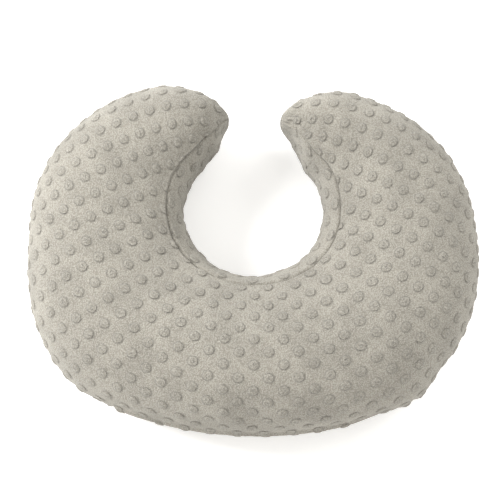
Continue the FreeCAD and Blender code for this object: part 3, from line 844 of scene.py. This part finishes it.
@dataclass(frozen=True)
class HardFinish:
    """Moulded nylon or painted metal, dulled where it is handled."""

    name: str
    colour: Colour
    roughness: float
    metallic: float = 0.0

    def build(self) -> bpy.types.Material:
        """The finish as a material."""
        material, sketch, shader, place = start_material(self.name)
        wear = place_group(sketch, EFFECTS.wear, Place=place, Size=3.5 * MM)
        scuff = sketch.math("MULTIPLY", wear.outputs["Scuff"], 0.4)
        colour = sketch.mix(scuff, shade(self.colour, 1.0), shade(self.colour, 1.25))
        sketch.feed(shader.inputs["Base Color"], colour)
        dulled = self.roughness + 0.16
        rough = sketch.remap(wear.outputs["Scuff"], 0.0, 1.0, self.roughness, dulled)
        sketch.feed(shader.inputs["Roughness"], rough)
        shader.inputs["Metallic"].default_value = self.metallic
        sketch.feed(shader.inputs["Normal"], sketch.bump(wear.outputs["Grain"], 0.15, 0.08 * MM))
        return material


@dataclass(frozen=True)
class FibreFinish:
    """Loose crimped fibre: white tangled wisps."""

    name: str = "crimped_fibre"
    colour: Colour = (0.86, 0.86, 0.84)

    def build(self) -> bpy.types.Material:
        """The finish as a material."""
        material, sketch, shader, place = start_material(self.name)
        pile = place_group(sketch, EFFECTS.pile, Place=place, Tuft_Size=2.4, Nap_Size=18.0)
        clumps = sketch.remap(pile.outputs["Nap"], 0.3, 0.7, 0.0, 1.0)
        colour = sketch.mix(clumps, shade(self.colour, 0.86), shade(self.colour, 1.0))
        sketch.feed(shader.inputs["Base Color"], colour)
        sketch.feed(shader.inputs["Roughness"], sketch.remap(clumps, 0.0, 1.0, 0.98, 0.9))
        shader.inputs["Sheen Weight"].default_value = 0.25
        sketch.feed(shader.inputs["Normal"], sketch.bump(pile.outputs["Tufts"], 0.7, 1.2 * MM))
        return material


def dress(piece: bpy.types.Object, material: bpy.types.Material) -> None:
    """Gives a piece one finish in every slot."""
    if not piece.material_slots:
        piece.data.materials.append(material)
    for place in piece.material_slots:
        place.material = material


def hand_over(
    piece: bpy.types.Object, material: bpy.types.Material, node: str
) -> None:
    """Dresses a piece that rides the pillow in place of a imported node.

    Args:
        piece: the piece.
        material: its finish.
        node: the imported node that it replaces.
    """
    dress(piece, material)
    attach(piece, "pillow")
    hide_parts(node)


# ---- the plush cover ----


@dataclass
class PlushCover:
    """The removable cover: top and bottom panels, and the gusset round the waist opening."""

    body: StuffedShape
    rows: int = 820
    columns: dict[Panel, int] = field(
        default_factory=lambda: {Panel.TOP: 132, Panel.GUSSET: 56, Panel.BOTTOM: 92}
    )
    thickness: float = 1.7 * MM
    seam_depth: float = 2.5 * MM
    seam_reach: float = 1.25 * MM
    slot_seam_depth: float = 0.35 * MM
    lip: float = 0.6 * MM
    lip_at: float = 3.4 * MM
    lip_width: float = 1.8 * MM
    slot_lip: float = 3.8 * MM
    slot_lip_at: float = 5.0 * MM
    slot_lip_width: float = 3.4 * MM
    slot_ease: tuple[float, float] = (12 * MM, 60 * MM)
    pucker: float = 0.9 * MM
    pucker_pitch: float = 6.5 * MM
    dot_height: float = 1.3 * MM
    dot_radius: float = 5.4 * MM
    dots_across: float = 30.6 * MM
    dots_along: float = 27.7 * MM
    lattice_shift: tuple[float, float] = (11.6 * MM, 6.9 * MM)
    bend_share: float = 0.8
    moat_depth: float = 0.3 * MM
    gusset_dots: float = 0.7
    right_crumple: float = 40 * MM
    left_tuft: float = 13 * MM
    fold_depth: float = 2.8 * MM
    tuft_height: float = 1.5 * MM
    crease_depth: float = 2.4 * MM
    crease_lip: float = 0.9 * MM
    section_radius: float = 48 * MM
    slot_half: float = 5.5 * MM
    slot_end: float = 159 * MM
    floor_softness: float = 1.4 * MM

    def zip_slot(self, signed: np.ndarray, ease: float | np.ndarray = 6 * MM) -> np.ndarray:
        """How far open the zip's slot is at each row, from 0 to 1, closing over a length ease."""
        form = self.body.form
        sizes = form.sizes(signed, 0.0)
        x, y = form.plan(np.abs(signed), sizes[0] + sizes[1])
        along = form.zip_radius * np.arctan2(x, form.zip_centre - y)
        open_share = 1 - smooth_step(self.slot_end - ease, self.slot_end, along)
        return np.where(np.abs(signed) > math.pi / 2, 0.0, open_share)

    def columns_of(self, panel: Panel, signed: np.ndarray) -> np.ndarray:
        """The angle around the section of each row and column of a panel, closer at its seams."""
        form = self.body.form
        start, end = form.span(panel, 0.0)
        count = self.columns[panel]
        even = np.linspace(0.0, 1.0, count)
        graded = even - 0.11 * np.sin(2 * math.pi * even)
        base = start + (end - start) * graded
        opening = np.zeros_like(base)
        across = self.slot_half / form.widest_height
        if panel is Panel.TOP:
            opening = across * (1 - smooth_step(0.0, 0.5, base - start))
        elif panel is Panel.BOTTOM:
            opening = -across * (1 - smooth_step(0.0, 0.5, end - base))
        return base[None, :] + opening[None, :] * self.zip_slot(signed)[:, None]

    def cloth_map(self, panel: Panel, signed: np.ndarray, points: np.ndarray) -> np.ndarray:
        """Flat cloth coordinates, as the panel was cut.

        Args:
            panel: which panel.
            signed: the signed turn of each row.
            points: the panel's places.

        Returns:
            Two coordinates in metres for each row and column.
        """
        across = widths_across(points)
        if panel is Panel.GUSSET:
            middle = points.shape[1] // 2
            along = arc_lengths(points)[:, middle]
            flat = [np.repeat(along[:, None], points.shape[1], axis=1) * 0.98, across + 7 * MM]
            return np.stack(flat, axis=-1)
        centre = self.body.form.sizes(signed, 0.0)[0]
        centre = np.convolve(np.pad(centre, 20, mode="edge"), np.ones(41) / 41, mode="valid")
        height = np.abs(points[:, :, 2] - self.body.form.widest_height)
        crest = int(np.median(np.argmax(height, axis=1)))
        outward = across[:, crest : crest + 1] - across
        if panel is Panel.BOTTOM:
            outward = -outward
        reach = centre[:, None] / self.bend_share + outward
        angle = (signed * self.bend_share)[:, None]
        flat = np.stack([reach * np.sin(angle), -reach * np.cos(angle)], axis=-1)
        warp = Field(np.random.default_rng(SEED + 3).normal(0, 1.1 * MM, (15, 7, 2)))
        start, end = self.body.form.span(panel, 0.0)
        flat = flat + warp.read(signed, np.linspace(start, end, points.shape[1]))
        return flat + np.array(self.lattice_shift)

    def dot_relief(self, cloth: np.ndarray) -> np.ndarray:
        """Height of the raised dots over flat cloth coordinates."""
        across, along = cloth[..., 0] / self.dots_across, cloth[..., 1] / self.dots_along
        one = np.mod(across + along, 1.0) - 0.5
        other = np.mod(across - along, 1.0) - 0.5
        far = np.hypot((one + other) * self.dots_across, (one - other) * self.dots_along) / 2
        dome = 1 - smooth_step(self.dot_radius - 1.4 * MM, self.dot_radius + 0.5 * MM, far)
        crown = 1 - 0.25 * (far / self.dot_radius) ** 2
        moat = bell(far, self.dot_radius + 1.4 * MM, 1.1 * MM)
        return self.dot_height * dome * crown - self.moat_depth * moat

    def seam_relief(
        self, panel: Panel, signed: np.ndarray, points: np.ndarray, rng: np.random.Generator
    ) -> tuple[np.ndarray, np.ndarray]:
        """How seams pull the cloth in.

        Args:
            panel: which panel.
            signed: the signed turn of each row.
            points: the panel's places.
            rng: the source of the puckers.

        Returns:
            The height to add along the normal, and how flat the seams press the dots, from 0 to 1.
        """
        across = widths_across(points)
        total = across[:, -1:]
        slot = self.zip_slot(signed)
        height = np.zeros(points.shape[:2])
        pressed = np.zeros(points.shape[:2])
        along = arc_lengths(points)
        for first in (True, False):
            away = across if first else total - across
            outer = (panel is Panel.TOP and first) or (panel is Panel.BOTTOM and not first)
            depth = np.full(len(signed), self.seam_depth)
            if outer:
                depth = depth * (1 - slot) + self.slot_seam_depth * slot
            line = along[:, 0 if first else -1]
            count = max(12, int((line[-1] - line[0]) / self.pucker_pitch))
            knots = rng.normal(0, 0.6, count)
            folds = curve_weights((line - line[0]) / (line[-1] - line[0]), count, False) @ knots
            size = self.pucker * (1.7 if outer else 0.4)
            quiet = 1 - slot if outer else np.ones(len(signed))
            pull = depth[:, None] * np.exp(-away / self.seam_reach)
            lip = self.lip * bell(away, self.lip_at, self.lip_width) * quiet[:, None]
            if outer:
                roll = bell(away, self.slot_lip_at, self.slot_lip_width)
                roll = roll * smooth_step(0.0, 2.5 * MM, away)
                ease = np.where(signed < 0, *self.slot_ease)
                lip = lip + self.slot_lip * roll * self.zip_slot(signed, ease)[:, None]
            reach = 13 * MM if outer else 7 * MM
            wave = size * (folds * quiet)[:, None] * np.exp(-away / reach)
            height += -pull + lip + wave * smooth_step(0.0, 2.5 * MM, away)
            pressed = np.maximum(pressed, 1 - smooth_step(0.5 * MM, 3.0 * MM, away))
        narrow = smooth_step(4 * MM, 26 * MM, total)
        return height * narrow, pressed

    def crumple(self, panel: Panel, signed: np.ndarray, arounds: np.ndarray) -> np.ndarray:
        """Folds bunched into the tips, where the seams meet.

        Args:
            panel: which panel.
            signed: the signed turn of each row.
            arounds: the angle around the section of each row and column.

        Returns:
            The height to add along the normal.
        """
        middle = arounds[len(signed) // 2]
        draw = np.random.default_rng(SEED + 40)
        folds = Field(draw.normal(0, 0.5, (190, 30))).read(signed, middle)
        tufts = Field(draw.normal(0, 0.5, (420, 64))).read(signed, middle)
        to_tip = self.body.form.to_tip(signed)
        right = (signed > 0).astype(float)
        reach = np.where(right > 0, self.right_crumple, self.left_tuft)
        near = bell(to_tip, 0.0, reach) * smooth_step(1 * MM, 14 * MM, to_tip)
        seam = math.pi - self.body.form.gusset_angle
        beside = bell(middle, seam, 0.75)
        height = -np.abs(folds) * self.fold_depth * (near * right)[:, None]
        height = height + tufts * self.tuft_height * near[:, None]
        height = height * (0.35 + 0.65 * beside)[None, :]
        if panel is Panel.TOP:
            crease_at = seam - 0.30 + 0.10 * np.clip(to_tip / (45 * MM), 0, 1)
            fade = right * smooth_step(6 * MM, 16 * MM, to_tip)
            fade = fade * (1 - smooth_step(34 * MM, 52 * MM, to_tip))
            away = (middle[None, :] - crease_at[:, None]) * self.section_radius
            crease = -self.crease_depth * np.exp(-np.abs(away) / (1.5 * MM))
            crease = crease + self.crease_lip * bell(away, -4 * MM, 3 * MM)
            height = height + crease * fade[:, None]
        return height

    def panel(self, panel: Panel) -> bpy.types.Object:
        """Builds one panel as a thick, dotted and sewn piece of cloth."""
        rng = np.random.default_rng(SEED + 20 + list(Panel).index(panel))
        share = {Panel.TOP: 1.0, Panel.GUSSET: 0.5, Panel.BOTTOM: 0.75}[panel]
        signed = self.body.form.rows(int(self.rows * share), 0.0)
        arounds = self.columns_of(panel, signed)
        points = self.body.shape(signed, arounds, 0.0)
        normals = grid_normals(points)
        cloth = self.cloth_map(panel, signed, points)
        relief, pressed = self.seam_relief(panel, signed, points, rng)
        dots = self.dot_relief(cloth) * (1 - pressed)
        to_tip = self.body.form.to_tip(signed)
        dots = dots * smooth_step(3 * MM, 16 * MM, to_tip)[:, None]
        if panel is Panel.GUSSET:
            dots = dots * self.gusset_dots
        relief = relief + self.crumple(panel, signed, arounds)
        points = points + normals * (relief + dots)[..., None]
        low = points[..., 2] - 0.6 * MM
        points[..., 2] = 0.5 * (low + np.sqrt(low**2 + self.floor_softness**2)) + 0.1 * MM
        return wrap_grid(f"plush_{panel.value}_panel", points, cloth, self.thickness)

    def build(self) -> None:
        """Builds, dresses and places the three panels."""
        material = PlushFinish(self.dots_across, self.dots_along, self.dot_radius).build()
        nodes = {
            Panel.TOP: "cover_top_panel",
            Panel.GUSSET: "cover_inner_gusset",
            Panel.BOTTOM: "cover_bottom_panel",
        }
        for panel, node in nodes.items():
            piece = self.panel(panel)
            hand_over(piece, material, node)
            LOG.info("%s: %d faces", piece.name, len(piece.data.polygons))


# ---- sewing thread ----


@dataclass(frozen=True)
class SeamThread:
    """One seam's thread: a strand that rises and dips with each stitch along a seam."""

    name: str
    node: str
    slot: str
    around: float
    start: float
    end: float
    depth: float
    radius: float = 0.42 * MM
    stitch: float = 3.4 * MM
    dip: float = 0.3 * MM
    rows: int = 1500
    sides: int = 6

    def build(self, body: StuffedShape, material: bpy.types.Material) -> None:
        """Builds, dresses and places the thread.

        Args:
            body: the body that the seam runs on.
            material: the thread's finish.
        """
        signed = np.linspace(self.start, self.end, self.rows)
        lines = self.around + np.array([-0.02, 0.0, 0.02])
        points = body.shape(signed, np.tile(lines, (self.rows, 1)), 0.0)
        normals, line = grid_normals(points)[:, 1], points[:, 1]
        sides = np.cross(np.gradient(line, axis=0), normals)
        sides /= np.maximum(np.linalg.norm(sides, axis=1, keepdims=True), 1e-12)
        along = np.concatenate([[0.0], np.cumsum(np.linalg.norm(np.diff(line, axis=0), axis=1))])
        wave = self.dip * np.sin(2 * math.pi * along / self.stitch)
        line = line + normals * (wave - self.depth)[:, None]
        taper = np.ones(self.rows)
        taper[0] = taper[-1] = 0.0
        angles = np.linspace(0, 2 * math.pi, self.sides + 1)
        angles[-1] = angles[0]
        out, aside = np.cos(angles)[None, :, None], np.sin(angles)[None, :, None]
        ring = out * normals[:, None] - aside * sides[:, None]
        piece = wrap_grid(self.name, line[:, None] + ring * (self.radius * taper)[:, None, None])
        hand_over(piece, material, self.node)


@dataclass
class SewingThreads:
    """The threads of the cover's and the casing's seams."""

    body: StuffedShape
    casing_depth: float
    cover_colour: Colour = (0.30, 0.28, 0.245)
    casing_colour: Colour = (0.80, 0.79, 0.76)
    tip_end: float = math.radians(8)
    zip_end: float = 163 * MM
    groove: float = 2.5 * MM
    under_casing: float = 0.9 * MM

    def build(self) -> None:
        """Builds the six seam threads."""
        form = self.body.form
        turns = np.linspace(0.05, 1.5, 2000)
        sizes = form.sizes(turns, 0.0)
        x, _ = form.plan(turns, sizes[0] + sizes[1])
        beside = float(turns[int(np.argmax(x > self.zip_end))])
        end = math.pi - self.tip_end
        upper, lower = math.pi - form.gusset_angle, math.pi + form.gusset_angle
        outer = form.outer_seam(0.0)
        cover = WovenFinish("cover_sewing_strand", self.cover_colour, 0.25 * MM, 0.2).build()
        casing = WovenFinish("casing_sewing_strand", self.casing_colour, 0.25 * MM, 0.2).build()
        cover_seams = (
            ("upper_gusset_stitching", "cover_upper_gusset_thread", upper, -end, end),
            ("lower_gusset_stitching", "cover_lower_gusset_thread", lower, -end, end),
            ("left_outer_stitching", "cover_left_seam_thread", outer, -end, -beside),
            ("right_outer_stitching", "cover_right_seam_thread", outer, beside, end),
        )
        casing_seams = (
            ("casing_upper_stitching", "pillow_upper_gusset_thread", upper, -end, end),
            ("casing_lower_stitching", "pillow_lower_gusset_thread", lower, -end, end),
        )
        under = self.casing_depth + self.under_casing
        for name, node, *line in cover_seams:
            SeamThread(name, node, "cover_thread", *line, self.groove).build(self.body, cover)
        for name, node, *line in casing_seams:
            SeamThread(name, node, "casing_thread", *line, under).build(self.body, casing)
        LOG.info("six seams sewn")


# ---- the inner pillow ----


@dataclass
class InnerPillow:
    """The stuffed casing inside the cover: three sewn panels round loose fibre."""

    body: StuffedShape
    casing_depth: float
    filling_depth: float
    rows: int = 240
    thickness: float = 0.5 * MM
    seam_depth: float = 0.7 * MM
    seam_reach: float = 3 * MM
    tuft: float = 1.1 * MM

    def casing_panel(self, panel: Panel) -> bpy.types.Object:
        """One panel of the casing, pinched at its seams."""
        form = self.body.form
        count = {Panel.TOP: 56, Panel.GUSSET: 24, Panel.BOTTOM: 44}[panel]
        signed = form.rows(self.rows, self.casing_depth)
        start, end = form.span(panel, self.casing_depth)
        base = start + (end - start) * np.linspace(0, 1, count)
        points = self.body.shape(signed, np.tile(base, (len(signed), 1)), self.casing_depth)
        across = widths_across(points)
        away = np.minimum(across, across[:, -1:] - across)
        pull = self.seam_depth * np.exp(-away / self.seam_reach)
        pull = pull * smooth_step(4 * MM, 26 * MM, across[:, -1:])
        points = points - grid_normals(points) * pull[..., None]
        return wrap_grid(f"casing_{panel.value}_panel", points, None, self.thickness)

    def filling(self) -> bpy.types.Object:
        """The fibre, lumpy where it has bunched."""
        form = self.body.form
        signed = form.rows(self.rows, self.filling_depth)
        arounds = np.linspace(0, 2 * math.pi, 97)
        points = self.body.shape(signed, np.tile(arounds, (len(signed), 1)), self.filling_depth)
        points[:, -1] = points[:, 0]
        lumps = noise_field(np.random.default_rng(SEED + 50), 60, 36).read(signed, arounds)
        lumps[:, -1] = lumps[:, 0]
        normals = grid_normals(points)
        normals[:, -1] = normals[:, 0]
        points = points - normals * (self.tuft * np.abs(lumps))[..., None]
        return wrap_grid("fibre_stuffing", points)

    def build(self) -> None:
        """Builds, dresses and places the inner pillow's soft pieces."""
        cotton = WovenFinish("casing_cotton_weave", (0.82, 0.81, 0.77), 0.7 * MM).build()
        nodes = {
            Panel.TOP: "pillow_casing_top",
            Panel.GUSSET: "pillow_casing_gusset",
            Panel.BOTTOM: "pillow_casing_bottom",
        }
        for panel, node in nodes.items():
            piece = self.casing_panel(panel)
            hand_over(piece, cotton, node)
        stuffing = self.filling()
        hand_over(stuffing, FibreFinish().build(), "fibre_filling")
        LOG.info("inner pillow: casing and stuffing")


# ---- the zip and labels ----


@dataclass
class SmallPieces:
    """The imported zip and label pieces, which keep their shapes and get real finishes."""

    nodes: dict[str, bpy.types.Object]
    cloth: Colour = (0.36, 0.34, 0.30)
    ribbon: Colour = (0.84, 0.83, 0.80)

    def build(self) -> None:
        """Finishes every small piece."""
        tape = WovenFinish("zip_tape_weave", self.cloth, 0.45 * MM, 0.1).build()
        cover_thread = WovenFinish("cover_sewing_thread", self.cloth, 0.25 * MM, 0.2).build()
        casing_thread = WovenFinish("casing_sewing_thread", self.ribbon, 0.25 * MM, 0.2).build()
        ribbon = WovenFinish("blank_satin_ribbon", self.ribbon, 0.3 * MM, 0.4, 0.55).build()
        nylon = HardFinish("zip_nylon", self.cloth, 0.42).build()
        metal = HardFinish("zip_painted_metal", (0.36, 0.34, 0.30), 0.36, 0.4).build()
        finishes = {
            "zip_tape": tape,
            "cover_thread": cover_thread,
            "casing_thread": casing_thread,
            "label_ribbon": ribbon,
            "zip_teeth": nylon,
            "zip_metal": metal,
        }
        slots = {part["node"]: part["material_slot"] for part in frame["record"]["subparts"]}
        for name, piece in self.nodes.items():
            if slots.get(name) in finishes:
                dress(piece, finishes[slots[name]])
        LOG.info("zip and labels finished")


# ---- floor, light and camera ----


@dataclass
class Studio:
    """A white sweep of floor, soft light and a camera nearly overhead."""

    centre_y: float
    distance: float = 2364 * MM
    elevation: float = math.radians(74.74)
    roll: float = math.radians(1.3)
    lens: float = 148.8
    aim_height: float = 50 * MM
    offset: tuple[float, float] = (-0.0055, 0.0161)

    def floor(self) -> None:
        """A plain pale floor."""
        bm = bmesh.new()
        bmesh.ops.create_grid(bm, x_segments=4, y_segments=4, size=4.0)
        mesh = bpy.data.meshes.new("studio_floor")
        bm.to_mesh(mesh)
        bm.free()
        floor = bpy.data.objects.new("studio_floor", mesh)
        bpy.context.scene.collection.objects.link(floor)
        material, sketch, shader, place = start_material("studio_white")
        tone = sketch.remap(sketch.noise(place, 1.2, 2.0), 0.2, 0.8, 0.0, 1.0)
        colour = sketch.mix(tone, (0.95, 0.95, 0.95, 1), (0.97, 0.97, 0.97, 1))
        sketch.feed(shader.inputs["Base Color"], colour)
        shader.inputs["Roughness"].default_value = 0.9
        shader.inputs["Emission Color"].default_value = (1.0, 1.0, 1.0, 1.0)
        shader.inputs["Emission Strength"].default_value = 0.27
        dress(floor, material)
        floor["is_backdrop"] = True

    def light(self, name: str, place: Vector, size: float, watts: float, tone: Colour) -> None:
        """One square soft light aimed at the pillow."""
        lamp = bpy.data.lights.new(name, "AREA")
        lamp.size = size
        lamp.energy = watts
        lamp.color = tone
        stand = bpy.data.objects.new(name, lamp)
        bpy.context.scene.collection.objects.link(stand)
        aim = Vector((0.0, self.centre_y, self.aim_height)) - place
        turn = aim.to_track_quat("-Z", "Y").to_matrix().to_4x4()
        stand.matrix_world = Matrix.Translation(place) @ turn

    def camera(self) -> None:
        """The camera, almost straight above and a little to the front."""
        eye = bpy.data.cameras.new("camera")
        eye.lens = self.lens
        eye.sensor_width = 36.0
        eye.shift_x, eye.shift_y = self.offset
        eye.clip_end = 50.0
        stand = bpy.data.objects.new("camera", eye)
        bpy.context.scene.collection.objects.link(stand)
        target = Vector((0.0, self.centre_y, self.aim_height))
        back = Vector((0.0, -math.cos(self.elevation), math.sin(self.elevation)))
        turn = (-back).to_track_quat("-Z", "Y").to_matrix().to_4x4()
        turn = turn @ Matrix.Rotation(self.roll, 4, "Z")
        stand.matrix_world = Matrix.Translation(target + back * self.distance) @ turn
        bpy.context.scene.camera = stand

    def build(self) -> None:
        """Sets the floor, the lights, the world and the camera."""
        self.floor()
        self.light("key_light", Vector((-1.8, 0.55, 1.45)), 1.0, 69.0, (1.0, 1.0, 1.0))
        self.light("low_front_light", Vector((0.4, -2.2, 0.3)), 1.0, 6.0, (1.0, 0.97, 0.9))
        self.light("back_fill_light", Vector((1.7, 1.3, 1.7)), 1.6, 26.0, (1.0, 1.0, 0.98))
        world = bpy.data.worlds.new("studio_world")
        world.use_nodes = True
        sky = world.node_tree.nodes["Background"]
        sky.inputs["Color"].default_value = (1.0, 0.985, 0.96, 1.0)
        sky.inputs["Strength"].default_value = 1.0
        bpy.context.scene.world = world
        bpy.context.scene.view_settings.view_transform = "Standard"
        self.camera()
        LOG.info("studio set")


def main() -> None:
    """Builds the pillow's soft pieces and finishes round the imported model."""
    logging.basicConfig(level=logging.INFO, format="%(name)s: %(message)s")
    cad_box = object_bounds()
    low, high = (Vector(corner) for corner in cad_box)
    form = PillowForm(width=high.x - low.x, height=high.z - low.z, front_y=low.y)
    LOG.info("zip line radius %.1f mm", form.zip_radius / MM)
    body = StuffedShape(form)
    PlushCover(body).build()
    casing_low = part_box("pillow_casing_top")[0]
    filling_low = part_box("fibre_filling")[0]
    InnerPillow(body, casing_low.x - low.x, filling_low.x - low.x).build()
    SewingThreads(body, casing_low.x - low.x).build()
    SmallPieces(frame["nodes"]).build()
    Studio(centre_y=form.shift).build()
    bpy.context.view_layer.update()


if __name__ == "__main__":
    main()
